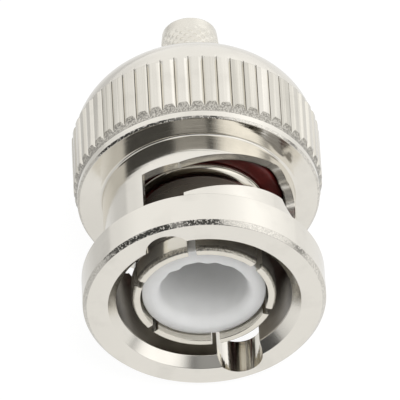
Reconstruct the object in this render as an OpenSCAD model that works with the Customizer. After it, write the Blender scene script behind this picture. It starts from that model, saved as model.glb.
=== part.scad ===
// BNC crimp plug for 50 ohm cable, without its centre pin and crimp ferrule.
// Millimetres. The plug lies with its axis along Y and mates towards -Y. The origin is on the
// axis at the mouth of the coupling bore, where the lead-in bevel ends.
// Depths are measured along the axis, back from the front face of the coupling nut.
// Clock angles are seen from the mating side, clockwise from the top.

/* [Coupling nut] */
// Diameter of the bore that slides over the socket's shell
bore_d = 9.8; // [9.7:0.02:9.95]
// Axial length of the lead-in bevel at the mouth of the bore
lead_in_l = 0.55; // [0.3:0.05:0.8]
// Radial width of the lead-in bevel
lead_in_w = 0.5; // [0.3:0.05:0.7]
// Overall length of the nut
nut_l = 14.7; // [14.4:0.1:16]
// Outer diameter of the front rim
rim_d = 13.56; // [13.3:0.02:14.2]
// Length of the front rim
rim_l = 2.24; // [1.8:0.02:2.6]
// Chamfer on the rim's front edge
rim_chamfer = 0.21; // [0.1:0.01:0.3]
// Outer diameter of the waist that the cam slots are cut in
waist_d = 10.84; // [10.6:0.02:11.2]
// Depth of the grip ring's front face
grip_front = 7.9; // [7.8:0.05:8.2]
// Outer diameter over the flutes' lands
grip_d = 14.0; // [13.8:0.02:14.6]
// Step down from the lands to the plain band in front of the flutes
band_drop = 0.18; // [0.1:0.01:0.25]
// Length of the plain band in front of the flutes
front_band_l = 0.78; // [0.5:0.02:1]
// Length of the rear rounding behind the lands
tail_l = 2.25; // [2:0.05:2.4]
// Number of flutes round the grip
flute_count = 54; // [48:2:60]
// Share of the pitch that stays as a flat land
land_share = 0.45; // [0.35:0.05:0.6]
// Radius of the rear rounding, spun in over the washers
rear_round = 3.6; // [3.4:0.1:4]
// Length of the rounding's arc from its widest point, under the lands, to the rear face
round_l = 2.7; // [2.5:0.05:2.8]
// Step down from the lands to the rounding's circle
round_drop = 0.1; // [0.06:0.01:0.14]
// Wall of the grip, over the lands, round the counterbore that holds the flange and washers
grip_wall = 1.05; // [0.9:0.05:1.2]
// Thickness of the step between the bore and the counterbore, behind the cam slots
step_l = 1; // [0.8:0.1:1.2]
// Thickness of the spun lip at the rear
lip_l = 1.25; // [1:0.05:1.4]

/* [Bayonet] */
// Clock angle of the first entry groove
entry_angle = -23.8; // [-45:0.1:0]
// Turn from the entry to the locked position
lock_turn = 90; // [85:1:95]
// Width of the entry grooves
entry_w = 2.6; // [2.3:0.05:2.8]
// Wall of the rim outside the entry grooves
entry_wall = 0.64; // [0.5:0.01:0.8]
// Width of the cam slot along the axis
cam_w = 2.36; // [2.2:0.02:2.5]
// Depth of the square end of the entry grooves
entry_end = 5.93; // [5.7:0.01:6.1]
// Depth of the cam slot's middle line at the top of the ramp
ramp_top = 6.19; // [6.1:0.01:6.25]
// Rise of the ramp along the axis for each degree of turn
ramp_pitch = 0.0213; // [0.018:0.0001:0.024]
// Turn from the top of the ramp on to the lock
crest_turn = 11.4; // [9:0.1:13]
// Drop of the locked position in front of the ramp's top
lock_drop = 0.39; // [0.2:0.01:0.5]

/* [Outer contact] */
// Width of the ring-shaped space for the socket's shell, from the bore to the finger tips
shell_space = 0.87; // [0.8:0.01:0.9]
// Thickness of the fingers at the raised contact ring
finger_t = 0.47; // [0.4:0.01:0.5]
// Depth of the finger tips
tip_depth = 0.47; // [0.3:0.01:0.7]
// Number of spring fingers
finger_count = 6; // [4:1:8]
// Width of the slots between the fingers
finger_slot_w = 0.48; // [0.3:0.02:0.6]
// Depth at which the finger slots end
finger_slot_end = 5; // [4.5:0.1:5.4]
// Clock angle of the first finger slot
finger_angle = -10.2; // [-30:0.1:30]
// Relief behind the raised contact ring of the fingers
finger_relief = 0.12; // [0.05:0.01:0.2]
// Length of the raised contact ring at the tips
contact_ring_l = 1.3; // [0.8:0.1:2]
// How far the barrel behind the fingers lies inside the raised contact ring
barrel_drop = 0.53; // [0.5:0.01:0.56]
// Wall of the barrel
barrel_wall = 0.3; // [0.26:0.02:0.36]
// Height over the barrel of the shank, which the gasket sits on and the body grips
shank_rise = 0.1; // [0.05:0.01:0.12]
// Height over the shank of the collar in front of the gasket
collar_rise = 0.2; // [0.15:0.01:0.25]
// Length of the collar behind its hollow
collar_l = 0.2; // [0.15:0.05:0.3]

/* [Gasket] */
// Depth of the gasket's front face
gasket_front = 7.27; // [7.2:0.01:7.4]
// Gap between the gasket and the coupling nut's bore
gasket_gap = 0.15; // [0.1:0.05:0.3]

/* [Insulators] */
// Depth of the front insulator's face
insulator_face = 0.87; // [0.6:0.01:1.2]
// Gap between the front insulator's nose and the finger tips
nose_gap = 0.12; // [0.1:0.01:0.14]
// Wall of the front insulator round the cavity for the socket's insulator
cavity_wall = 0.75; // [0.7:0.01:0.85]
// Depth of the cavity's floor
cavity_floor = 6.2; // [5.5:0.1:6.6]
// Diameter of the hole for the centre pin
pin_hole_d = 1.5; // [1.3:0.05:1.7]
// Depth of the joint between the two insulators
insulator_joint = 7.9; // [7.4:0.1:8.4]
// Depth of the rear insulator's back face
insulator_back = 11.4; // [11:0.1:11.8]

/* [Body] */
// Thickness of the body's flange
flange_l = 1.25; // [1:0.05:1.4]
// Wall of the hub round the contact's shank
hub_wall = 0.6; // [0.5:0.05:0.7]
// Depth of the hub's rear face
hub_end = 15.2; // [15:0.1:16]
// Depth of the crimp stem's rear end, which is the plug's length
stem_end = 20.56; // [19.5:0.02:22]
// Diameter of the crimp stem
stem_d = 3.3; // [3.3:0.02:3.6]
// Length of the stem's tapered nose, which lifts the cable's braid
nose_l = 0.8; // [0.5:0.1:1.2]
// Radial drop of the tapered nose
nose_drop = 0.08; // [0.04:0.01:0.1]
// Bore of the crimp stem, for the cable's dielectric
stem_bore = 2.98; // [2.96:0.01:3]

/* [Washers] */
// Thickness of the flat washers
washer_t = 0.4; // [0.3:0.05:0.5]
// Thickness of the wave washers' strip
wave_t = 0.2; // [0.15:0.01:0.25]
// Number of waves round a wave washer
wave_count = 3; // [3:1:4]
// Gap between a washer's edge and the counterbore
washer_gap = 0.15; // [0.1:0.05:0.2]

/* [Fits] */
// Radial running clearance of the nut on the body's flange
run_fit = 0.07; // [0.03:0.01:0.09]
// Clearance between pieces that are pressed or stacked together
seat = 0.02; // [0.01:0.01:0.03]
// Radial clearance of the spun lip and the washers round the hub
hub_gap = 0.2; // [0.15:0.05:0.25]

/* [Hidden] */

$fn = 96;
nickel = "#d9d5cb";
steel = "#c3c6c8";
ptfe = "#f4f4f2";
silicone = "#8e1a1c";
pass = 1;

bore_r = bore_d / 2;
rim_r = rim_d / 2;
waist_r = waist_d / 2;
grip_r = grip_d / 2;
band_r = grip_r - band_drop;
pocket_r = grip_r - grip_wall;
contact_r = bore_r - shell_space;
contact_in = contact_r - finger_t;
barrel_r = contact_r - barrel_drop;
barrel_in = barrel_r - barrel_wall;
shank_r = barrel_r + shank_rise;
collar_r = shank_r + collar_rise;
gasket_r = bore_r - gasket_gap;
bead_r = barrel_in - seat;
cavity_r = bead_r - cavity_wall;
nose_r = contact_in - nose_gap;
hub_r = shank_r + hub_wall;
lip_r = hub_r + hub_gap;
stem_r = stem_d / 2;

// The counterbore starts behind the step, and the flange bears on the step.
pocket_front = grip_front + step_l;
flange_front = pocket_front + seat;
flange_back = flange_front + flange_l;
flange_r = pocket_r - run_fit;
pocket_back = nut_l - lip_l;
collar_back = gasket_front - seat;
collar_front = collar_back - collar_l;
shank_back = insulator_back + seat;
bore_step = finger_slot_end - 0.15;

// The washers fill the space between the flange and the spun lip.
back_washer_front = pocket_back - seat - washer_t;
wave_h = (back_washer_front - flange_back - washer_t - 4 * seat) / 2;
wave_front_start = flange_back + seat;
spacer_front = wave_front_start + wave_h + seat;
wave_rear_start = spacer_front + washer_t + seat;
washer_in = hub_r + hub_gap;
washer_out = pocket_r - washer_gap;

// Turns a profile drawn as [radius, depth] about the plug's axis.
module turned() {
    rotate([-90, 0, 0]) translate([0, 0, -lead_in_l]) children();
}

// Points +X of what it holds at a clock angle.
module at_clock(angle) {
    rotate([0, 0, angle - 90]) children();
}

module ring(inner, outer, front, back) {
    translate([0, 0, front]) difference() {
        cylinder(r = outer, h = back - front);
        translate([0, 0, -pass]) cylinder(r = inner, h = back - front + 2 * pass);
    }
}

// Corner arc in a profile: points about [r, d] from angle a0 to a1.
function arc(r, d, radius, a0, a1, steps = 8) =
    [for (i = [0 : steps]) let (a = a0 + (a1 - a0) * i / steps)
        [r + radius * cos(a), d + radius * sin(a)]];

// ---- coupling nut: turned shell with cam slots, entry grooves and a fluted grip ----

rim_rear_chamfer = rim_chamfer / 2;
grip_chamfer = 0.12;
waist_fillet = 0.15;
land_end = nut_l - tail_l;
round_r = grip_r - round_drop;
round_front = nut_l - round_l;
round_from = asin((land_end - round_front) / rear_round);
round_to = asin((nut_l - round_front) / rear_round);
lip_chamfer = 0.2;

module nut_profile() {
    polygon(concat(
        [[bore_r + lead_in_w, 0],
         [rim_r - rim_chamfer, 0],
         [rim_r, rim_chamfer * 1.25],
         [rim_r, rim_l - rim_rear_chamfer],
         [rim_r - rim_rear_chamfer, rim_l],
         [waist_r, rim_l]],
        arc(waist_r + waist_fillet, grip_front - waist_fillet, waist_fillet, 180, 90, 4),
        [[band_r - grip_chamfer, grip_front],
         [band_r, grip_front + grip_chamfer],
         [band_r, grip_front + front_band_l],
         [grip_r, grip_front + front_band_l + band_drop],
         [grip_r, land_end - round_drop]],
        arc(round_r - rear_round, round_front, rear_round, round_from, round_to, 12),
        [[lip_r + lip_chamfer, nut_l],
         [lip_r, nut_l - lip_chamfer],
         [lip_r, pocket_back],
         [pocket_r, pocket_back],
         [pocket_r, pocket_front],
         [bore_r, pocket_front],
         [bore_r, lead_in_l]]));
}

flute_angle = 3.2;
flute_pitch = 360 / flute_count;
flute_floor = 0.01;

// One V flute, cut down nearly to the level of the plain band. It runs out on the rear
// rounding, just behind the end of the lands.
module flute_cut() {
    half_w = PI * grip_r / flute_count * (1 - land_share);
    over = 0.3;
    rise = half_w / band_drop;
    front = grip_front + front_band_l - 0.001;
    translate([0, 0, front]) linear_extrude(nut_l - front)
        polygon([[band_r + flute_floor, 0],
                 [grip_r + over, half_w + over * rise],
                 [grip_r + over, -half_w - over * rise]]);
}

module flutes() {
    for (i = [0 : flute_count - 1]) at_clock(flute_angle + i * flute_pitch) flute_cut();
}

// The turned shell starts and ends on a land, clear of the flutes and the cam slots.
module nut_blank() {
    start_land = floor(flute_count * 0.3) + 0.5;
    at_clock(flute_angle + start_land * flute_pitch) rotate_extrude() nut_profile();
}

// Groove along the bore that lets one of the socket's studs in, open through the waist.
module entry_groove() {
    translate([rim_r - entry_wall - entry_w / 2, 0, -pass])
        cylinder(d = entry_w, h = entry_end + pass);
}

ramp_turn = lock_turn - crest_turn;
ramp_step = ramp_turn / 13;
function ramp_depth(turn) = ramp_top - ramp_pitch * (ramp_turn - turn);

// One short piece of the ramp: a prism cut outwards through the wall.
module ramp_cut(turn) {
    half_step = tan(ramp_step / 2) * (waist_r + pass) * 1.02;
    rise = ramp_pitch * ramp_step / 2;
    depth = ramp_depth(turn);
    at_clock(turn) rotate([90, 0, 90])
        translate([0, 0, bore_r - pass]) linear_extrude(waist_r - bore_r + 2 * pass)
            polygon([[-half_step, depth - rise - cam_w / 2],
                     [half_step, depth + rise - cam_w / 2],
                     [half_step, depth + rise + cam_w / 2],
                     [-half_step, depth - rise + cam_w / 2]]);
}

module cam_end(turn, depth) {
    at_clock(turn) translate([bore_r - pass, 0, depth])
        rotate([0, 90, 0]) cylinder(d = cam_w, h = waist_r - bore_r + 2 * pass);
}

// Entry groove, rising ramp and the lock that the stud drops forward into.
module cam_slot() {
    at_clock(0) entry_groove();
    for (i = [0 : 12]) ramp_cut((i + 0.5) * ramp_step);
    cam_end(ramp_turn, ramp_top);
    cam_end(lock_turn, ramp_top - lock_drop);
}

module coupling_nut() {
    color(nickel) turned() difference() {
        nut_blank();
        flutes();
        for (side = [0, 180]) rotate([0, 0, entry_angle + side]) cam_slot();
    }
}

// ---- outer contact: six sprung fingers, a collar and a shank pressed into the body ----

tip_chamfer = 0.1;

// The fingers spring outwards: their walls flare from the barrel to the raised ring.
module contact_profile() {
    relief_r = contact_r - finger_relief;
    root_in = nose_r + seat;
    hollow_r = collar_r - barrel_r;
    polygon(concat(
        [[contact_in + tip_chamfer, tip_depth],
         [contact_r - tip_chamfer, tip_depth],
         [contact_r, tip_depth + tip_chamfer],
         [contact_r, tip_depth + contact_ring_l],
         [relief_r, tip_depth + contact_ring_l + 2 * finger_relief],
         [barrel_r + tip_chamfer, finger_slot_end + tip_chamfer],
         [barrel_r, finger_slot_end + 3 * tip_chamfer]],
        arc(collar_r, collar_front - hollow_r, hollow_r, 180, 90, 6),
        [[collar_r, collar_back],
         [shank_r, collar_back],
         [shank_r, shank_back],
         [barrel_in, shank_back],
         [barrel_in, bore_step],
         [root_in, bore_step],
         [contact_in, tip_depth + tip_chamfer]]));
}

module outer_contact() {
    color(nickel) turned() difference() {
        rotate_extrude() contact_profile();
        for (i = [0 : finger_count - 1])
            at_clock(finger_angle + i * 360 / finger_count)
                translate([barrel_in - pass, -finger_slot_w / 2, tip_depth - pass])
                    cube([contact_r - barrel_in + 2 * pass, finger_slot_w,
                          finger_slot_end - tip_depth + pass]);
    }
}

// ---- gasket: silicone ring between the collar and the flange ----

module gasket() {
    edge = 0.15;
    inner = shank_r + seat;
    back = flange_front - seat;
    color(silicone) turned() rotate_extrude() polygon([
        [inner, gasket_front],
        [gasket_r - edge, gasket_front],
        [gasket_r, gasket_front + edge],
        [gasket_r, back],
        [inner, back]]);
}

// ---- insulators: two turned pieces that hold the centre pin between them ----

module front_insulator() {
    color(ptfe) turned() difference() {
        union() {
            ring(pin_hole_d / 2, nose_r, insulator_face, bore_step - seat);
            ring(pin_hole_d / 2, bead_r, insulator_face, insulator_joint);
        }
        translate([0, 0, insulator_face - pass])
            cylinder(r = cavity_r, h = cavity_floor - insulator_face + pass);
    }
}

module rear_insulator() {
    color(ptfe) turned() ring(pin_hole_d / 2, bead_r, insulator_joint + seat, insulator_back);
}

// ---- body: flange, hub and crimp stem, turned in one piece ----

module body_profile() {
    hub_chamfer = 0.3;
    stem_fillet = 0.25;
    counterbore = shank_r + seat;
    polygon(concat(
        [[counterbore, flange_front],
         [flange_r, flange_front],
         [flange_r, flange_back],
         [hub_r, flange_back],
         [hub_r, hub_end - hub_chamfer],
         [hub_r - hub_chamfer, hub_end]],
        arc(stem_r + stem_fillet, hub_end + stem_fillet, stem_fillet, 270, 180, 4),
        [[stem_r, stem_end - nose_l],
         [stem_r - nose_drop, stem_end],
         [stem_bore / 2, stem_end],
         [stem_bore / 2, shank_back + seat],
         [counterbore, shank_back + seat]]));
}

module body() {
    color(nickel) turned() rotate_extrude() body_profile();
}

// ---- washers: two wave springs with a flat washer between them and one behind ----

// A flat strip ring bent into waves: corner i of the section at an angle round the ring.
wave_steps = 24 * wave_count;
function wave_lift(i) = (wave_h - wave_t) / 2 * (1 - cos(360 * wave_count * i / wave_steps));
function wave_ring(i) = let (a = 360 * i / wave_steps, z = wave_lift(i))
    [for (c = [[washer_in, 0], [washer_out, 0], [washer_out, wave_t], [washer_in, wave_t]])
        [c[0] * cos(a), c[0] * sin(a), z + c[1]]];

module wave_washer(start, angle) {
    points = [for (i = [0 : wave_steps - 1]) each wave_ring(i)];
    sides = [for (i = [0 : wave_steps - 1], k = [0 : 3])
        let (n = 4 * wave_steps, j = 4 * i + 4)
            [4 * i + k, 4 * i + (k + 1) % 4, (j + (k + 1) % 4) % n, (j + k) % n]];
    color(steel) turned() translate([0, 0, start]) rotate([0, 0, angle])
        polyhedron(points = points, faces = sides, convexity = 4);
}

module wave_washer_front() {
    wave_washer(wave_front_start, 0);
}

module spacer_washer() {
    color(steel) turned() ring(washer_in, washer_out, spacer_front, spacer_front + washer_t);
}

module wave_washer_rear() {
    wave_washer(wave_rear_start, 180 / wave_count);
}

module back_washer() {
    color(steel) turned()
        ring(washer_in, washer_out, back_washer_front, back_washer_front + washer_t);
}

coupling_nut();
outer_contact();
gasket();
front_insulator();
rear_insulator();
body();
wave_washer_front();
spacer_washer();
wave_washer_rear();
back_washer();
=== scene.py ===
"""BNC crimp plug for coaxial cable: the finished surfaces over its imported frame."""
import math

import bpy
import numpy as np
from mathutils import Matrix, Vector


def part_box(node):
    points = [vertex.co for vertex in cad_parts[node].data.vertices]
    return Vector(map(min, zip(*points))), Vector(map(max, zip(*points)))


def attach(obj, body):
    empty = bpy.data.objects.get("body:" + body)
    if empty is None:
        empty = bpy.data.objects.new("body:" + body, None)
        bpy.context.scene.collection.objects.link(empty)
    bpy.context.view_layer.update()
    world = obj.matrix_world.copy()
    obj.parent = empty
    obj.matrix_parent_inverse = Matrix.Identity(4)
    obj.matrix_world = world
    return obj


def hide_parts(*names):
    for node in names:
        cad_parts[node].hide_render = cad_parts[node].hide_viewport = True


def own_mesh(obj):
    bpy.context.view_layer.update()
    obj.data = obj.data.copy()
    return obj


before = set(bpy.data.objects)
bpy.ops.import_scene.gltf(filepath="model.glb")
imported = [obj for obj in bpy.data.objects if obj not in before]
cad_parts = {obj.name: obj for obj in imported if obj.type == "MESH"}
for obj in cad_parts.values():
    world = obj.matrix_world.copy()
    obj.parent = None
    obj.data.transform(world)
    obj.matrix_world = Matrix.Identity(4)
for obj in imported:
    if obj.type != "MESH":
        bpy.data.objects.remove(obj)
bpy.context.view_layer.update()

# ---- view and studio ----
# The plug lies on its side with its mating end to the viewer, who looks down on it from well
# away through a long lens. The aim is far enough above the nut's front face to show all of it.

nut_low, nut_high = (np.array(corner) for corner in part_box("coupling_nut"))
face = np.array([0.0, nut_low[1], 0.0])
azimuth, elevation = math.radians(-2.41), math.radians(47.51)
towards = np.array([math.sin(azimuth) * math.cos(elevation),
                    -math.cos(azimuth) * math.cos(elevation), math.sin(elevation)])
right = np.array([math.cos(azimuth), math.sin(azimuth), 0.0])
upward = np.cross(towards, right)

camera_data = bpy.data.cameras.new("camera")
camera_data.sensor_width = 36
camera_data.lens = 810.2
camera_data.clip_start, camera_data.clip_end = 0.05, 10
camera = bpy.data.objects.new("camera", camera_data)
distance, aim_right, aim_up = 0.5, -0.00026, 0.005806
camera.location = face + distance * towards + aim_right * right + aim_up * upward
camera.rotation_euler = (math.pi / 2 - elevation, 0, azimuth)
bpy.context.collection.objects.link(camera)
bpy.context.scene.camera = camera
bpy.context.scene.view_settings.view_transform = "Standard"


def linear(code):
    """sRGB hex code to linear red, green and blue, with an alpha of 1."""
    srgb = np.array([int(code[i:i + 2], 16) for i in (1, 3, 5)]) / 255
    low, high = srgb / 12.92, ((srgb + 0.055) / 1.055) ** 2.4
    return (*np.where(srgb <= 0.04045, low, high), 1.0)


def add(tree, kind, inputs=(), **settings):
    """Adds a node: settings are its properties, inputs its values or the sockets it reads."""
    node = tree.nodes.new("ShaderNode" + kind)
    for name, value in settings.items():
        setattr(node, name, value)
    for name, value in dict(inputs).items():
        if isinstance(value, bpy.types.NodeSocket):
            tree.links.new(value, node.inputs[name])
        else:
            node.inputs[name].default_value = value
    return node


def fresh(name):
    """An empty material and its output node."""
    material = bpy.data.materials.new(name)
    material.use_nodes = True
    tree = material.node_tree
    tree.nodes.clear()
    return material, tree, add(tree, "OutputMaterial")


def seen_rays(tree):
    """1 for rays from the camera and those that metal or glass sends on, otherwise 0."""
    path = add(tree, "LightPath")
    first = add(tree, "Math", {0: path.outputs["Is Camera Ray"], 1: path.outputs["Is Glossy Ray"]},
                operation="MAXIMUM")
    return add(tree, "Math", {0: first.outputs[0], 1: path.outputs["Is Transmission Ray"]},
               operation="MAXIMUM").outputs[0]


def between(tree, value, low, high, soft):
    """1 while value is from low to high, with even slopes of width soft on both sides."""
    centre, half = (low + high) / 2, (high - low) / 2
    off = add(tree, "Math", {0: value, 1: centre}, operation="SUBTRACT")
    off = add(tree, "Math", {0: off.outputs[0]}, operation="ABSOLUTE")
    return add(tree, "MapRange", {"Value": off.outputs[0], "From Min": half + soft / 2,
                                  "From Max": half - soft / 2}).outputs[0]


# White light tent. Polished metal shows its walls: open to a dark room in front and to the left,
# where the viewer looks in, with a lighter place above and one below in the opening, a dim gap
# along the table on the right, a bright place on the right and one behind, and a duller stretch
# low on the left. Matt surfaces see an even, dimmer tent, a little darker in front, and the viewer
# sees white.
world = bpy.data.worlds.new("light_tent")
world.use_nodes = True
tree = world.node_tree
tree.nodes.clear()
way = add(tree, "SeparateXYZ", {0: add(tree, "TexCoord").outputs["Generated"]})
front_way = add(tree, "Math", {0: way.outputs["Y"], 1: -1.0}, operation="MULTIPLY")
turn = add(tree, "Math", {0: way.outputs["X"], 1: front_way.outputs[0]}, operation="ARCTAN2")
rise = add(tree, "Math", {0: way.outputs["Z"]}, operation="ARCSINE")
walls = 0.96
# Left, right, lower and upper edge of each place in degrees from straight in front, the width of
# its soft edges, and what it adds to the brightness of the walls.
for left, right_side, low, high, soft, change in (
        (-74, 24, -9, 52, 12, -0.9), (-26, 24, 52, 62, 8, -0.9), (24, 78, -8, 5, 8, -0.6),
        (-27, 12, 38, 50, 4, 0.28), (-8, 12, -6, 26, 10, 0.1), (32, 66, 4, 48, 16, 0.3),
        (125, 155, 10, 42, 25, 0.25), (-160, -80, -15, 12, 16, -0.15)):
    wide = between(tree, turn.outputs[0], *(math.radians(v) for v in (left, right_side, soft)))
    tall = between(tree, rise.outputs[0], *(math.radians(v) for v in (low, high, soft)))
    part = add(tree, "Math", {0: wide, 1: tall}, operation="MULTIPLY")
    walls = add(tree, "Math", {0: part.outputs[0], 1: change, 2: walls},
                operation="MULTIPLY_ADD").outputs[0]
tent = add(tree, "Math", {0: walls, 1: 0.04}, operation="MAXIMUM")
even = add(tree, "Mix", {"Factor": 0.3, "A": 0.52, "B": tent.outputs[0]})
path = add(tree, "LightPath")
lit = add(tree, "Mix", {"Factor": path.outputs["Is Glossy Ray"], "A": even.outputs[0],
                        "B": tent.outputs[0]})
seen = add(tree, "Mix", {"Factor": path.outputs["Is Camera Ray"], "A": lit.outputs[0], "B": 1.0})
sky = add(tree, "Background", {"Color": linear("#FFFFFF"), "Strength": seen.outputs[0]})
tree.links.new(sky.outputs[0], add(tree, "OutputWorld").inputs["Surface"])
bpy.context.scene.world = world

# White paper floor under the plug, bright enough to look white but for the plug's own shadow.
# What it sends back to the metal falls off to the left of the plug.
material, tree, output = fresh("white_paper")
grain = add(tree, "TexNoise", {"Vector": add(tree, "TexCoord").outputs["Object"], "Scale": 900.0})
tone = add(tree, "MapRange", {"Value": grain.outputs["Fac"], "To Min": 0.9, "To Max": 0.94})
matt = add(tree, "BsdfDiffuse", {"Color": tone.outputs[0]})
path = add(tree, "LightPath")
across = add(tree, "SeparateXYZ", {0: add(tree, "TexCoord").outputs["Object"]}).outputs["X"]
sent = add(tree, "MapRange", {"Value": across, "From Min": -0.02, "From Max": -0.004,
                              "To Min": 0.6, "To Max": 0.88})
level = add(tree, "Mix", {"Factor": path.outputs["Is Camera Ray"], "A": sent.outputs[0],
                          "B": 1.08})
glow = add(tree, "Emission", {"Color": linear("#FFFFFF"), "Strength": level.outputs[0]})
share = add(tree, "Math", {0: seen_rays(tree), 1: 0.85}, operation="MULTIPLY")
mixed = add(tree, "MixShader", {0: share.outputs[0], 1: matt.outputs[0], 2: glow.outputs[0]})
tree.links.new(mixed.outputs[0], output.inputs["Surface"])
floor_mesh = bpy.data.meshes.new("floor")
reach = 0.08
floor_z = float(nut_low[2])
floor_mesh.from_pydata([(x, y, floor_z) for x, y in ((-reach, -reach), (reach, -reach),
                                                     (reach, reach), (-reach, reach))],
                       [], [(0, 1, 2, 3)])
floor_mesh.materials.append(material)
floor = bpy.data.objects.new("floor", floor_mesh)
bpy.context.collection.objects.link(floor)

# One broad lamp over the tent, a little in front and to the right, turned to the plug.
data = bpy.data.lights.new("top_lamp", "AREA")
data.size, data.energy = 0.3, 1.1
lamp = bpy.data.objects.new("top_lamp", data)
lamp_way = np.array([0.2, -0.36, 0.913])
lamp.location = 0.5 * lamp_way
lamp.rotation_euler = (math.acos(lamp_way[2]), 0, math.atan2(lamp_way[0], -lamp_way[1]))
lamp.visible_glossy = False
bpy.context.collection.objects.link(lamp)

# ---- coupling nut ----
# Bayonet shell turned from one brass bar, then milled for the two entry grooves and cam slots,
# straight-knurled on the grip and plated with bright nickel. The rear edge is spun in.

MM = 0.001
grip_r = nut_high[0] / MM
nut_l = (nut_high[1] - nut_low[1]) / MM
bore_r, rim_r, waist_r, band_r = 4.9, 6.78, 5.42, 6.82
rim_l, grip_front, band_l, land_end = 2.24, 7.9, 0.78, 12.45
lead_in_w, lead_in_l, rim_chamfer, rim_chamfer_l, rear_chamfer = 0.5, 0.55, 0.21, 0.26, 0.1
waist_fillet, grip_chamfer, lip_chamfer = 0.15, 0.12, 0.2
rear_round, round_front, round_drop, slant = 3.6, 12.0, 0.1, 2.0
pocket_r, pocket_front, lip_l, lip_r = 5.95, 8.9, 1.25, 4.4
flute_count, land_share, flute_turn, flute_floor = 54, 0.45, 3.2, 0.01
entry_turn, entry_w, entry_wall, entry_end = -23.8, 2.6, 0.64, 5.93
cam_w, ramp_top, ramp_pitch, ramp_turn, lock_turn, lock_drop = 2.36, 6.19, 0.0213, 78.6, 90, 0.39


def arc(r, depth, radius, start, end, steps=8):
    """Profile points on a circle about (r, depth), from angle start to end."""
    turn = np.radians(np.linspace(start, end, steps + 1))
    return np.stack([r + radius * np.cos(turn), depth + radius * np.sin(turn)], 1).tolist()


def eased(profile, radius, steps=3):
    """Closed profile with each corner of over 20 degrees cut back by radius, at most 0.4 of the
    shorter side, and bridged by a quadratic curve through both cuts that leans on the corner.
    A point just past each end of the curve keeps the shading of the long sides even."""
    corner = np.array(profile, float)
    before, after = np.roll(corner, 1, 0) - corner, np.roll(corner, -1, 0) - corner
    reach_b, reach_a = (np.linalg.norm(side, axis=1, keepdims=True) for side in (before, after))
    straight = -(before * after).sum(1, keepdims=True) / (reach_b * reach_a)
    sharp = straight < math.cos(math.radians(20))
    back = np.minimum(radius, 0.4 * np.minimum(reach_b, reach_a)) * sharp
    start, end = corner + before / reach_b * back, corner + after / reach_a * back
    t = np.linspace(0, 1, steps + 1)[None, :, None]
    curve = ((1 - t) ** 2 * start[:, None] + 2 * t * (1 - t) * corner[:, None]
             + t ** 2 * end[:, None])
    past = np.minimum(0.02, 0.1 * np.minimum(reach_b, reach_a)) * sharp
    curve = np.concatenate([(start + before / reach_b * past)[:, None], curve,
                            (end + after / reach_a * past)[:, None]], 1)
    return curve[sharp | (np.arange(steps + 3) == 0)]


def turned(profile, clock, shape=None):
    """Closed revolve: profile point i, (radius, depth), at clock angle j lies at x = r sin,
    z = r cos and y = depth. shape(radius, depth, clock) may change the radius."""
    r, depth = (np.asarray(profile)[:, k:k + 1] for k in (0, 1))
    turn = np.radians(np.asarray(clock))[None, :]
    r = r + 0 * turn if shape is None else shape(r, depth, np.asarray(clock)[None, :])
    points = np.stack([r * np.sin(turn), depth + 0 * r, r * np.cos(turn)], -1)
    rows, cols = r.shape
    i, j = np.meshgrid(np.arange(rows), np.arange(cols), indexing="ij")
    down, on = (i + 1) % rows, (j + 1) % cols
    quads = np.stack([i * cols + j, i * cols + on, down * cols + on, down * cols + j], -1)
    return points.reshape(-1, 3), quads.reshape(-1, 4)


def solid(name, points, faces):
    """Mesh object in millimetres whose faces are turned outwards if its volume is negative."""
    corner = points[faces[:, :3]]
    volume = np.einsum("ij,ij->i", corner[:, 0], np.cross(corner[:, 1], corner[:, 2])).sum()
    if faces.shape[1] == 4:
        corner = points[faces[:, [0, 2, 3]]]
        volume += np.einsum("ij,ij->i", corner[:, 0], np.cross(corner[:, 1], corner[:, 2])).sum()
    faces = faces[:, ::-1] if volume < 0 else faces
    mesh = bpy.data.meshes.new(name)
    mesh.from_pydata(points.tolist(), [], faces.tolist())
    piece = bpy.data.objects.new(name, mesh)
    bpy.context.collection.objects.link(piece)
    return piece


def cut(piece, cutters):
    """Takes each cutter out of the piece and removes the cutter."""
    for cutter in cutters:
        step = piece.modifiers.new("cut", "BOOLEAN")
        step.operation, step.solver, step.object = "DIFFERENCE", "MANIFOLD", cutter
        shaped = piece.evaluated_get(bpy.context.evaluated_depsgraph_get())
        mesh = bpy.data.meshes.new_from_object(shaped)
        piece.modifiers.clear()
        old, piece.data = piece.data, mesh
        bpy.data.meshes.remove(old)
        bpy.data.meshes.remove(cutter.data)


def finish(piece, material, node, body, sharp=32):
    """Scales the piece to metres behind the front face, shades it and stands it for its node."""
    mesh = piece.data
    place = np.empty(3 * len(mesh.vertices))
    mesh.vertices.foreach_get("co", place)
    place = place.reshape(-1, 3) * MM + face
    mesh.vertices.foreach_set("co", place.ravel())
    mesh.polygons.foreach_set("use_smooth", np.ones(len(mesh.polygons), bool))
    mesh.update()
    mesh.set_sharp_from_angle(angle=math.radians(sharp))
    mesh.materials.clear()
    mesh.materials.append(material)
    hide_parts(node)
    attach(piece, body)


def fluted(r, depth, clock):
    """Radius held down to V flutes between the grip's lands: the floor of each is just above
    the plain band, and its sides rise almost evenly to the edges of the lands."""
    pitch = 360 / flute_count
    off = np.abs((clock - flute_turn + pitch / 2) % pitch - pitch / 2) / (pitch / 2)
    side = np.minimum(off / (1 - land_share), 1)
    flute = band_r + flute_floor + (grip_r - band_r) * side ** 0.95
    return np.where(r > band_r, np.minimum(r, flute), r)


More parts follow.
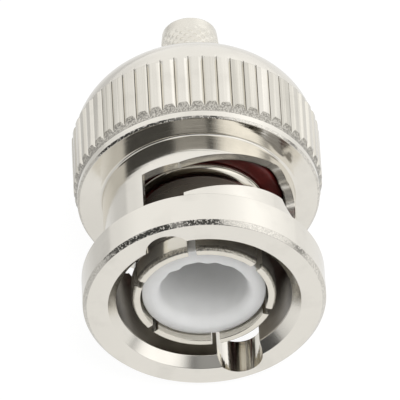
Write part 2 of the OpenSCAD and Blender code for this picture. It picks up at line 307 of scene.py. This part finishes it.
def rod(name, radius, clock, axis_r, depth, length, along):
    """Closed cylinder cutter of 64 sides that starts at a clock angle, radius and depth and
    runs along the axis, or outwards."""
    turn = np.linspace(0, 2 * np.pi, 64, endpoint=False)
    rings = np.array([[0], [length]]) + 0 * turn
    u, v = radius * np.cos(turn) + 0 * rings, radius * np.sin(turn) + 0 * rings
    r, side, d = (axis_r + u, v, depth + rings) if along else (axis_r + rings, v, depth + u)
    s, c = math.sin(math.radians(clock)), math.cos(math.radians(clock))
    points = np.stack([r * s + side * c, d, r * c - side * s], -1).reshape(-1, 3)
    points = np.vstack([points, points[:64].mean(0), points[64:].mean(0)])
    i, on = np.arange(64), (np.arange(64) + 1) % 64
    faces = np.vstack([
        np.stack([i, on, on + 64], 1), np.stack([i, on + 64, i + 64], 1),
        np.stack([on, i, i * 0 + 128], 1), np.stack([i + 64, on + 64, i * 0 + 129], 1)])
    return solid(name, points, faces)


def ramp(name, start):
    """Cutter for the ramp of a cam slot: its middle line climbs evenly with the clock angle, and
    its section (radius by depth) is a rectangle through the waist's wall."""
    turn = np.linspace(0, ramp_turn, 40)[:, None]
    middle = ramp_top - ramp_pitch * (ramp_turn - turn)
    r = np.array([[cutter_r, waist_r + 0.6, waist_r + 0.6, cutter_r]]) + 0 * turn
    d = middle + cam_w / 2 * np.array([[-1, -1, 1, 1]])
    clock = np.radians(start + turn)
    points = np.stack([r * np.sin(clock), d, r * np.cos(clock)], -1).reshape(-1, 3)
    i, k = np.meshgrid(np.arange(39), np.arange(4), indexing="ij")
    on = (k + 1) % 4
    sides = np.stack([4 * i + k, 4 * i + on, 4 * i + 4 + on, 4 * i + 4 + k], -1).reshape(-1, 4)
    return solid(name, points, np.vstack([sides, [[3, 2, 1, 0], [156, 157, 158, 159]]]))


# The fronts of the lands lean back, with a row of points for each step of their height.
land = grip_r - band_r
teeth_front = grip_front + band_l - 0.03
land_front = teeth_front + slant * land + 0.05
teeth = [[band_r + rise, teeth_front + slant * rise] for rise in np.linspace(0, land - 0.03, 7)]
round_from, round_to = (math.degrees(math.asin((depth - round_front) / rear_round))
                        for depth in (land_end, nut_l))
fillet_end = waist_fillet + 0.03
nut_profile = eased([
    [bore_r + lead_in_w, 0], [rim_r - rim_chamfer, 0], [rim_r, rim_chamfer_l],
    [rim_r, rim_l - rear_chamfer], [rim_r - rear_chamfer, rim_l], [waist_r, rim_l],
    [waist_r, grip_front - fillet_end],
    *arc(waist_r + waist_fillet, grip_front - waist_fillet, waist_fillet, 180, 90, 4),
    [waist_r + fillet_end, grip_front], [band_r - grip_chamfer, grip_front],
    [band_r, grip_front + grip_chamfer], *teeth,
    *arc(grip_r - grip_chamfer, land_front, grip_chamfer, -40, 0, 3),
    [grip_r, land_end - round_drop],
    *arc(grip_r - round_drop - rear_round, round_front, rear_round, round_from, round_to, 18),
    [lip_r + lip_chamfer, nut_l], [lip_r, nut_l - lip_chamfer], [lip_r, nut_l - lip_l],
    [pocket_r, nut_l - lip_l], [pocket_r, pocket_front], [bore_r, pocket_front],
    [bore_r, lead_in_l]], 0.02, 2)
# Columns of the mesh as shares of a pitch: from the middle of a flute up its side, over the land
# and down to the next flute.
columns = (1 - land_share) / 2 * np.array([0, 0.12, 0.4, 0.7, 1])
columns = np.concatenate([columns, [0.38, 0.5], 1 - columns[:0:-1]])
clocks = (flute_turn + 360 / flute_count * (np.arange(flute_count)[:, None] + columns)).ravel()
nut = solid("nut_shell", *turned(nut_profile, clocks, fluted))
# The cutters of the cam slots start in the bore and reach through the waist's wall.
cutter_r, cutter_l = bore_r - 0.5, 1.1
groove_r = rim_r - entry_wall - entry_w / 2
for turn in (entry_turn, entry_turn + 180):
    lock = turn + lock_turn
    cut(nut, [
        rod("groove", entry_w / 2, turn, groove_r, -1, entry_end + 1, True),
        ramp("ramp", turn),
        rod("crest", cam_w / 2, turn + ramp_turn, cutter_r, ramp_top, cutter_l, False),
        rod("lock", cam_w / 2, lock, cutter_r, ramp_top - lock_drop, cutter_l, False)])


def nickel(name, tone, stain_and_shade, roughness, lands=0, **zones):
    """Bright nickel plate on turned metal: warm silver with a soft sheen, and rings left by the
    lathe under the plate. tone is its colour; the next colour is the brown where the plate is
    thinner, in clouds, and also the painted shade laid over the shaded matt zones; lands is the
    number of rolled lands, each of its own tone and finely scored along. zones are given by
    least and greatest radius, depth and lean (depth less slant times radius, which is even on the
    leaning fronts of the lands): torn ones are rough, grey and flecked, nicked ones are smooth
    with a few nicks, shaded matt ones are painted dark brown as shade and are matt, milled ones
    are only matt, oxidised ones have a fine grey film, rolled ones are the lands, and the shaded
    flutes are dark lines of painted shade down the flute bottoms."""
    material, tree, output = fresh(name)
    place = add(tree, "TexCoord").outputs["Object"]
    xyz = add(tree, "SeparateXYZ", {0: place})
    x, y, z = (xyz.outputs[k] for k in "XYZ")
    flat = add(tree, "CombineXYZ", {"X": x, "Z": z})
    radius = add(tree, "VectorMath", {0: flat.outputs[0]}, operation="LENGTH").outputs["Value"]
    depth = add(tree, "Math", {0: y, 1: -face[1]}, operation="ADD").outputs[0]
    lean = add(tree, "Math", {0: radius, 1: -slant, 2: depth}, operation="MULTIPLY_ADD").outputs[0]
    around = add(tree, "VectorMath", {0: flat.outputs[0]}, operation="NORMALIZE").outputs[0]

    def inside(kind, soft):
        """1 in any of the zones of a kind, 0 outside, with edges soft millimetres wide."""
        total = 0.0
        for zone in zones.get(kind, ()):
            part = 1.0
            for measure, (low, high) in zip((radius, depth, lean), zone):
                band = between(tree, measure, low * MM, high * MM, soft * MM)
                part = add(tree, "Math", {0: part, 1: band}, operation="MULTIPLY").outputs[0]
            total = add(tree, "Math", {0: total, 1: part}, operation="MAXIMUM").outputs[0]
        return total

    # The lathe's rings are drawn three times as coarse as the real 0.05 mm, so that they show.
    along = add(tree, "Math", {0: radius, 1: depth}, operation="ADD")
    along = add(tree, "Math", {0: along.outputs[0], 1: 1 / (0.15 * MM)}, operation="MULTIPLY")
    rings = add(tree, "CombineXYZ", {"X": along.outputs[0]})
    rings = add(tree, "VectorMath", {0: around, 1: (1.5,) * 3, 2: rings.outputs[0]},
                operation="MULTIPLY_ADD")
    lathe = add(tree, "TexNoise", {"Vector": rings.outputs[0], "Scale": 1.0, "Detail": 1.0})
    cloud = add(tree, "TexNoise", {"Vector": place, "Scale": 1 / (1.6 * MM), "Detail": 4.0})
    plate_and_shade_share = add(tree, "MapRange", {"Value": cloud.outputs["Fac"], "From Min": 0.52, "From Max": 0.8,
                                  "To Max": 0.1}).outputs[0]
    sheen = add(tree, "MapRange", {
        "Value": lathe.outputs["Fac"], "From Min": 0.3, "From Max": 0.7,
        "To Min": roughness * 0.75, "To Max": roughness * 1.3}).outputs[0]
    # Painted shade: in these zones the brown is laid on almost fully as painted shade on the
    # recessed surfaces inside the bore, the rear pocket and the contact's barrel, which are also
    # made matt.
    if "dull" in zones:
        zone = inside("dull", 0.1)
        painted_shade = add(tree, "MapRange", {"Value": cloud.outputs["Fac"], "From Min": 0.35,
                                       "From Max": 0.65, "To Min": 0.88, "To Max": 1.0})
        painted_shade = add(tree, "Math", {0: painted_shade.outputs[0], 1: zone}, operation="MULTIPLY").outputs[0]
        plate_and_shade_share = add(tree, "Math", {0: plate_and_shade_share, 1: painted_shade}, operation="MAXIMUM").outputs[0]
        sheen = add(tree, "Mix", {"Factor": zone, "A": sheen, "B": 0.34}).outputs[0]
    if "milled" in zones:
        sheen = add(tree, "Mix", {"Factor": inside("milled", 0.06), "A": sheen,
                                  "B": 0.2}).outputs[0]
    color = add(tree, "Mix", {"Factor": plate_and_shade_share, "A": linear(tone), "B": linear(stain_and_shade)},
                data_type="RGBA").outputs[2]
    if lands:
        turn = add(tree, "Math", {0: x, 1: z}, operation="ARCTAN2")
        turn = add(tree, "Math", {0: turn.outputs[0], 1: lands / (2 * math.pi),
                                  2: -lands * flute_turn / 360},
                   operation="MULTIPLY_ADD").outputs[0]
        each = add(tree, "Math", {0: turn}, operation="FLOOR")
        each = add(tree, "TexWhiteNoise", {"W": each.outputs[0]}, noise_dimensions="1D")
        score = add(tree, "TexNoise", {"W": turn, "Scale": 9.0, "Detail": 2.0},
                    noise_dimensions="1D")
        shade = add(tree, "Math", {0: each.outputs["Value"], 1: score.outputs["Fac"]},
                    operation="MULTIPLY")
        on_land = add(tree, "Math", {0: shade.outputs[0], 1: inside("rolled", 0.05)},
                      operation="MULTIPLY")
        color = add(tree, "Mix", {"Factor": on_land.outputs[0], "A": color,
                                  "B": linear("#BBB7AB")}, data_type="RGBA").outputs[2]
    # Painted shade: dark lines laid down the bottoms of the flutes, where shade gathers in the
    # narrow V.
    if "grimy" in zones:
        color = add(tree, "Mix", {"Factor": inside("grimy", 0.012), "A": color,
                                  "B": linear("#5B564E")}, data_type="RGBA").outputs[2]
    normal = add(tree, "Bump", {"Height": lathe.outputs["Fac"], "Strength": 0.5,
                                "Distance": 0.007 * MM}).outputs[0]
    if "torn" in zones:
        grit = add(tree, "TexNoise", {"Vector": place, "Scale": 1 / (0.1 * MM), "Detail": 3.0,
                                      "Roughness": 0.6}).outputs["Fac"]
        torn = zone = inside("torn", 0.02)
        high = add(tree, "Math", {0: grit, 1: torn}, operation="MULTIPLY").outputs[0]
        if "nicked" in zones:
            few = inside("nicked", 0.03)
            nick = add(tree, "MapRange", {"Value": grit, "From Min": 0.58, "From Max": 0.7,
                                          "To Max": 0.5})
            high = add(tree, "Math", {0: nick.outputs[0], 1: few, 2: high},
                       operation="MULTIPLY_ADD").outputs[0]
            most = add(tree, "Math", {0: few, 1: 0.6}, operation="MULTIPLY")
            zone = add(tree, "Math", {0: torn, 1: most.outputs[0]}, operation="MAXIMUM").outputs[0]
        normal = add(tree, "Bump", {"Height": high, "Strength": 0.6,
                                    "Distance": 0.06 * MM, "Normal": normal}).outputs[0]
        grey = add(tree, "Math", {0: torn, 1: 0.35}, operation="MULTIPLY")
        color = add(tree, "Mix", {"Factor": grey.outputs[0], "A": color,
                                  "B": linear("#8A867C")}, data_type="RGBA").outputs[2]
        fleck = add(tree, "MapRange", {"Value": grit, "From Min": 0.56, "From Max": 0.44,
                                       "To Max": 0.5})
        fleck = add(tree, "Math", {0: fleck.outputs[0], 1: zone}, operation="MULTIPLY")
        color = add(tree, "Mix", {"Factor": fleck.outputs[0], "A": color,
                                  "B": linear("#4A463F")}, data_type="RGBA").outputs[2]
    shader = add(tree, "BsdfPrincipled", {"Base Color": color, "Metallic": 1.0,
                                          "Roughness": sheen, "Normal": normal})
    if "oxidised" in zones:
        film = add(tree, "MapRange", {"Value": inside("oxidised", 0.05), "To Min": 1.0,
                                      "To Max": 0.75})
        tree.links.new(film.outputs[0], shader.inputs["Metallic"])
    tree.links.new(shader.outputs[0], output.inputs["Surface"])
    return material


teeth_lean = teeth_front - slant * band_r
slot_wall = (bore_r + 0.05, waist_r - 0.03)
finish(nut, nickel("nickel_on_turned_brass", "#EDE9E0", "#40362B", 0.12, lands=flute_count,
                   rolled=[((band_r + 0.03, grip_r + 0.1), (teeth_front + 0.15, land_end + 0.05))],
                   torn=[((band_r - 0.1, grip_r - 0.02), (grip_front + 0.4, grip_front + 1.2),
                          (teeth_lean - 0.28, teeth_lean + 0.02))],
                   nicked=[((rim_r - rim_chamfer - 0.01, rim_r), (-0.1, rim_chamfer_l + 0.01)),
                           ((band_r - grip_chamfer - 0.01, band_r),
                            (grip_front - 0.1, grip_front + grip_chamfer + 0.01))],
                   # Painted shade: the bore past its mouth and the rear pocket are painted dark
                   # brown as shade, and made matt.
                   dull=[((0, bore_r + 0.03), (0.6, nut_l)),
                         ((0, pocket_r), (pocket_front - 0.1, nut_l))],
                   milled=[(slot_wall, (5.6, 7.6)),
                           ((bore_r - 0.02, bore_r + lead_in_w), (-0.05, lead_in_l + 0.01))],
                   oxidised=[(slot_wall, (4.8, 7.6))],
                   # Painted shade: dark lines down the flute bottoms.
                   grimy=[((band_r - 0.1, band_r + 0.028),
                           (teeth_front + 0.11, land_end + 0.11))]),
       "coupling_nut", "nut")

# ---- outer contact ----
# Slotted tube of spring bronze, turned, sawn into six fingers, flared and nickel plated. Its
# collar holds the gasket, and its shank is pressed into the body.

contact_low, contact_high = (np.array(corner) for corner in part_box("outer_contact"))
tip = (contact_low[1] - face[1]) / MM
shank_back = (contact_high[1] - face[1]) / MM
contact_r, contact_in, barrel_r, barrel_in, shank_r, collar_r = 4.03, 3.56, 3.5, 3.2, 3.6, 3.8
slot_end, slot_w, slot_turn, slot_count = 5.0, 0.48, -10.2, 6
tip_round, ring_l, relief, collar_back, collar_l = 0.22, 1.3, 0.12, 7.25, 0.2
hollow_w, hollow_l = collar_r - barrel_r, 0.7
contact_profile = eased([
    [contact_in, tip], *arc(contact_r - tip_round, tip + tip_round, tip_round, -90, 0, 6),
    [contact_r, tip + ring_l], [contact_r - relief, tip + ring_l + 2 * relief],
    [barrel_r + 0.1, slot_end + 0.1], [barrel_r, slot_end + 0.3],
    *[[collar_r - hollow_w * math.cos(a),
       collar_back - collar_l - hollow_l + hollow_l * math.sin(a)]
      for a in np.linspace(0, math.pi / 2, 12)],
    [collar_r, collar_back], [shank_r, collar_back], [shank_r, shank_back],
    [barrel_in, shank_back], [barrel_in, slot_end - 0.15], [contact_in - 0.1, slot_end - 0.15]],
    0.07, 4)
contact = solid("spring_contact",
                *turned(contact_profile, np.linspace(0, 360, 288, endpoint=False)))


def saw(clock):
    """Cutter for one finger slot: a plate from in front of the tips to the slot's end, and from
    inside the tube to outside it."""
    s, c = math.sin(math.radians(clock)), math.cos(math.radians(clock))
    r, side, d = np.meshgrid([2.4, 4.6], [-slot_w / 2, slot_w / 2], [tip - 0.5, slot_end],
                             indexing="ij")
    points = np.stack([r * s + side * c, d, r * c - side * s], -1).reshape(-1, 3)
    return solid("saw", points, np.array([[0, 1, 3, 2], [4, 6, 7, 5], [0, 4, 5, 1],
                                          [2, 3, 7, 6], [0, 2, 6, 4], [1, 5, 7, 3]]))


cut(contact, [saw(slot_turn + 360 / slot_count * k) for k in range(slot_count)])
outside = ((contact_r - 0.3, contact_r + 0.1), (tip + 0.04, slot_end - 0.2))
barrel_l = (slot_end - 0.2, collar_back - 0.8)
finish(contact, nickel("nickel_on_spring_bronze", "#E8E3D7", "#6E5C47", 0.14,
                       # Painted shade: the barrel behind the fingers, in the nut's shade, is
                       # painted dark brown, and made matt.
                       dull=[((0, barrel_r + 0.02), barrel_l)],
                       oxidised=[outside, ((barrel_r - 0.1, barrel_r + 0.02), barrel_l)],
                       torn=[((contact_r - 0.2, contact_r + 0.1), (tip + 0.02, tip + 0.35))],
                       milled=[outside]),
       "outer_contact", "core")

# ---- gasket ----
# Moulded ring of dark red silicone between the collar and the body's flange, which seals
# against the socket's shell. Its corners are soft, and its skin is satin.

gasket_low, gasket_high = (np.array(corner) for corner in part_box("gasket"))
gasket_r, seat = gasket_high[0] / MM, 0.02
front, back = (gasket_low[1] - face[1]) / MM, (gasket_high[1] - face[1]) / MM
gasket = solid("gasket_ring", *turned(
    eased([[shank_r + seat, front], [gasket_r, front], [gasket_r, back], [shank_r + seat, back]],
          0.3, 8), np.linspace(0, 360, 144, endpoint=False)))

material, tree, output = fresh("red_silicone")
place = add(tree, "TexCoord").outputs["Object"]
mottle = add(tree, "TexNoise", {"Vector": place, "Scale": 1 / (0.5 * MM), "Detail": 4.0})
color = add(tree, "ValToRGB", {0: mottle.outputs["Fac"]})
color.color_ramp.elements[0].color = linear("#3C0E0C")
color.color_ramp.elements[1].color = linear("#70201B")
skin = add(tree, "TexNoise", {"Vector": place, "Scale": 1 / (0.06 * MM), "Detail": 2.0})
bump = add(tree, "Bump", {"Height": skin.outputs["Fac"], "Strength": 0.4, "Distance": 0.01 * MM})
shader = add(tree, "BsdfPrincipled", {
    "Base Color": color.outputs[0], "Roughness": 0.42, "Normal": bump.outputs[0],
    "Subsurface Weight": 0.15, "Subsurface Radius": (1.0, 0.25, 0.2),
    "Subsurface Scale": 0.4 * MM})
tree.links.new(shader.outputs[0], output.inputs["Surface"])
finish(gasket, material, "gasket", "core")

# ---- insulators ----
# Two beads turned from white PTFE rod. The front one has the deep cavity for the socket's own
# insulator. Its skin has a fine grain, and light sinks a little into the waxy plastic.

bead_low, bead_high = (np.array(corner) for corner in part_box("front_insulator"))
nose = (bead_low[1] - face[1]) / MM
bead_back = (bead_high[1] - face[1]) / MM
nose_r, bead_r, cavity_r, hole_r, cavity_floor, shoulder = 3.44, 3.18, 2.43, 0.75, 6.2, 4.83
mouth, burr = 0.6, 0.04


def torn_mouth(r, depth, clock):
    """Radius of a mouth that is rounded over most at the bottom and least at the top, where the
    drill left a wavy burr inside it, as the sum of three slow waves round the mouth."""
    rounded = (depth < nose + mouth) & (r < cavity_r + mouth)
    widest = 0.65 - 0.35 * np.cos(np.radians(clock))
    r = np.where(rounded, cavity_r + (r - cavity_r) * widest, r)
    waves = sum(np.cos(np.radians(count * (clock - turn))) for count, turn in
                ((7, 12), (11, 33), (17, 5)))
    upper = np.clip(np.cos(np.radians(clock + 15)), 0, 1)
    fading = np.clip(1 - (depth - nose) / (2 * mouth), 0, 1)
    return r - burr * (waves + 2) * upper * fading * (r < 3.1)


bead = solid("socket_insulator", *turned(
    [*arc(cavity_r + mouth, nose + mouth, mouth, 180, 270, 10),
     *eased([[nose_r, nose], [nose_r, shoulder], [bead_r, shoulder], [bead_r, bead_back],
             [hole_r, bead_back], [hole_r, cavity_floor], [cavity_r, cavity_floor]], 0.06, 4)],
    np.linspace(0, 360, 240, endpoint=False), torn_mouth))

ptfe, tree, output = fresh("white_ptfe")
place = add(tree, "TexCoord").outputs["Object"]
mottle = add(tree, "TexNoise", {"Vector": place, "Scale": 1 / (0.8 * MM), "Detail": 3.0})
color = add(tree, "ValToRGB", {0: mottle.outputs["Fac"]})
color.color_ramp.elements[0].color = linear("#E4E4E3")
color.color_ramp.elements[1].color = linear("#EDEDEC")
grain = add(tree, "TexNoise", {"Vector": place, "Scale": 1 / (0.1 * MM), "Detail": 3.0})
bump = add(tree, "Bump", {"Height": grain.outputs["Fac"], "Strength": 0.25, "Distance": 0.01 * MM})
shader = add(tree, "BsdfPrincipled", {
    "Base Color": color.outputs[0], "Roughness": 0.5, "IOR": 1.38, "Normal": bump.outputs[0],
    "Subsurface Weight": 0.8, "Subsurface Radius": (1.0, 1.0, 1.0),
    "Subsurface Scale": 0.5 * MM})
tree.links.new(shader.outputs[0], output.inputs["Surface"])
finish(bead, ptfe, "front_insulator", "core")
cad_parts["rear_insulator"].material_slots[0].material = ptfe

# ---- body ----
# Turned brass body: the flange that the nut bears on, the hub under the washers and the crimp
# stem, whose diamond knurl grips the cable's braid. Nickel plated all over.

body_low, body_high = (np.array(corner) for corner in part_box("body"))
flange_front = (body_low[1] - face[1]) / MM
stem_end = (body_high[1] - face[1]) / MM
flange_r, hub_r, stem_r, stem_in = body_high[0] / MM, 4.2, 1.65, 1.49
flange_back, hub_end, hub_chamfer, stem_fillet = flange_front + 1.25, 15.2, 0.3, 0.25
nose_l, nose_drop = 0.8, 0.08
knurl_start, knurl_end, knurl_depth, knurl_count = 15.6, 20.0, 0.09, 20


def knurled(r, depth, clock):
    """Radius cut down between round bumps in diamond order, which run out before the nose: the
    height is the product of the squared sines along two crossed helices."""
    on_stem = (r > stem_in + 0.04) & (r < stem_r + 0.05)
    knurl = on_stem & (depth > knurl_start) & (depth < knurl_end)
    turn = clock / 360 * knurl_count
    climb = depth / (2 * math.pi * stem_r) * knurl_count
    bump = np.prod([np.sin(np.pi * (turn + way * climb)) ** 2 for way in (1, -1)], 0)
    run_out = np.clip((knurl_end - depth) / 0.4, 0, 1)
    return np.where(knurl, r - knurl_depth * run_out * (1 - bump), r + 0 * clock)


stem_d = np.linspace(hub_end + 0.3, stem_end - 0.03, 96)
tapered = stem_r - nose_drop * np.clip((stem_d - stem_end) / nose_l + 1, 0, 1)
body_profile = [
    [shank_r + seat, flange_front], [flange_r, flange_front], [flange_r, flange_back],
    [hub_r, flange_back], [hub_r, hub_end - hub_chamfer], [hub_r - hub_chamfer, hub_end],
    *arc(stem_r + stem_fillet, hub_end + stem_fillet, stem_fillet, 270, 190, 4),
    *np.stack([tapered, stem_d], 1).tolist(),
    [stem_r - nose_drop - 0.03, stem_end], [stem_in, stem_end], [stem_in, shank_back + seat],
    [shank_r + seat, shank_back + seat]]
body = solid("crimp_body",
             *turned(body_profile, np.linspace(0, 360, 480, endpoint=False), knurled))
finish(body, nickel("nickel_on_knurled_brass", "#EBE7DD", "#8F8064", 0.25), "body", "core",
       45)

# ---- washers ----
# Two wave washers of spring steel with flat steel washers between and behind them, stamped and
# left bright. They push the nut back from the flange and flatten as it is pulled forward; here
# both springs are drawn at rest.

material, tree, output = fresh("stamped_spring_steel")
place = add(tree, "TexCoord").outputs["Object"]
rolled = add(tree, "Mapping", {"Vector": place, "Scale": (1 / (0.6 * MM), 1, 1 / (0.02 * MM))})
grain = add(tree, "TexNoise", {"Vector": rolled.outputs[0], "Scale": 1.0, "Detail": 4.0})
color = add(tree, "ValToRGB", {0: grain.outputs["Fac"]})
color.color_ramp.elements[0].color = linear("#8E9093")
color.color_ramp.elements[1].color = linear("#BFC1C4")
bump = add(tree, "Bump", {"Height": grain.outputs["Fac"], "Strength": 0.3, "Distance": 0.004 * MM})
shader = add(tree, "BsdfPrincipled", {"Base Color": color.outputs[0], "Metallic": 1.0,
                                      "Roughness": 0.3, "Normal": bump.outputs[0]})
tree.links.new(shader.outputs[0], output.inputs["Surface"])
for name in ("spacer_washer", "back_washer"):
    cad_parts[name].material_slots[0].material = material

washer_in, washer_out, wave_t, wave_count, give = 4.4, 5.8, 0.2, 3, 0.3
strip = eased([[washer_in, 0], [washer_out, 0], [washer_out, wave_t], [washer_in, wave_t]], 0.05)
for node, name, crest in (("wave_washer_front", "wave_spring_front", 90),
                          ("wave_washer_rear", "wave_spring_rear", 150)):
    low, high = (corner[1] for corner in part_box(node))
    height = (high - low) / MM
    points, faces = turned(strip, np.linspace(0, 360, 288, endpoint=False))
    waves = wave_count * (np.arctan2(points[:, 0], points[:, 2]) - math.radians(crest))
    points[:, 1] += (low - face[1]) / MM + (height - wave_t) / 2 * (1 - np.cos(waves))
    spring = solid(name, points, faces)
    finish(spring, material, node, "core")
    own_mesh(spring)
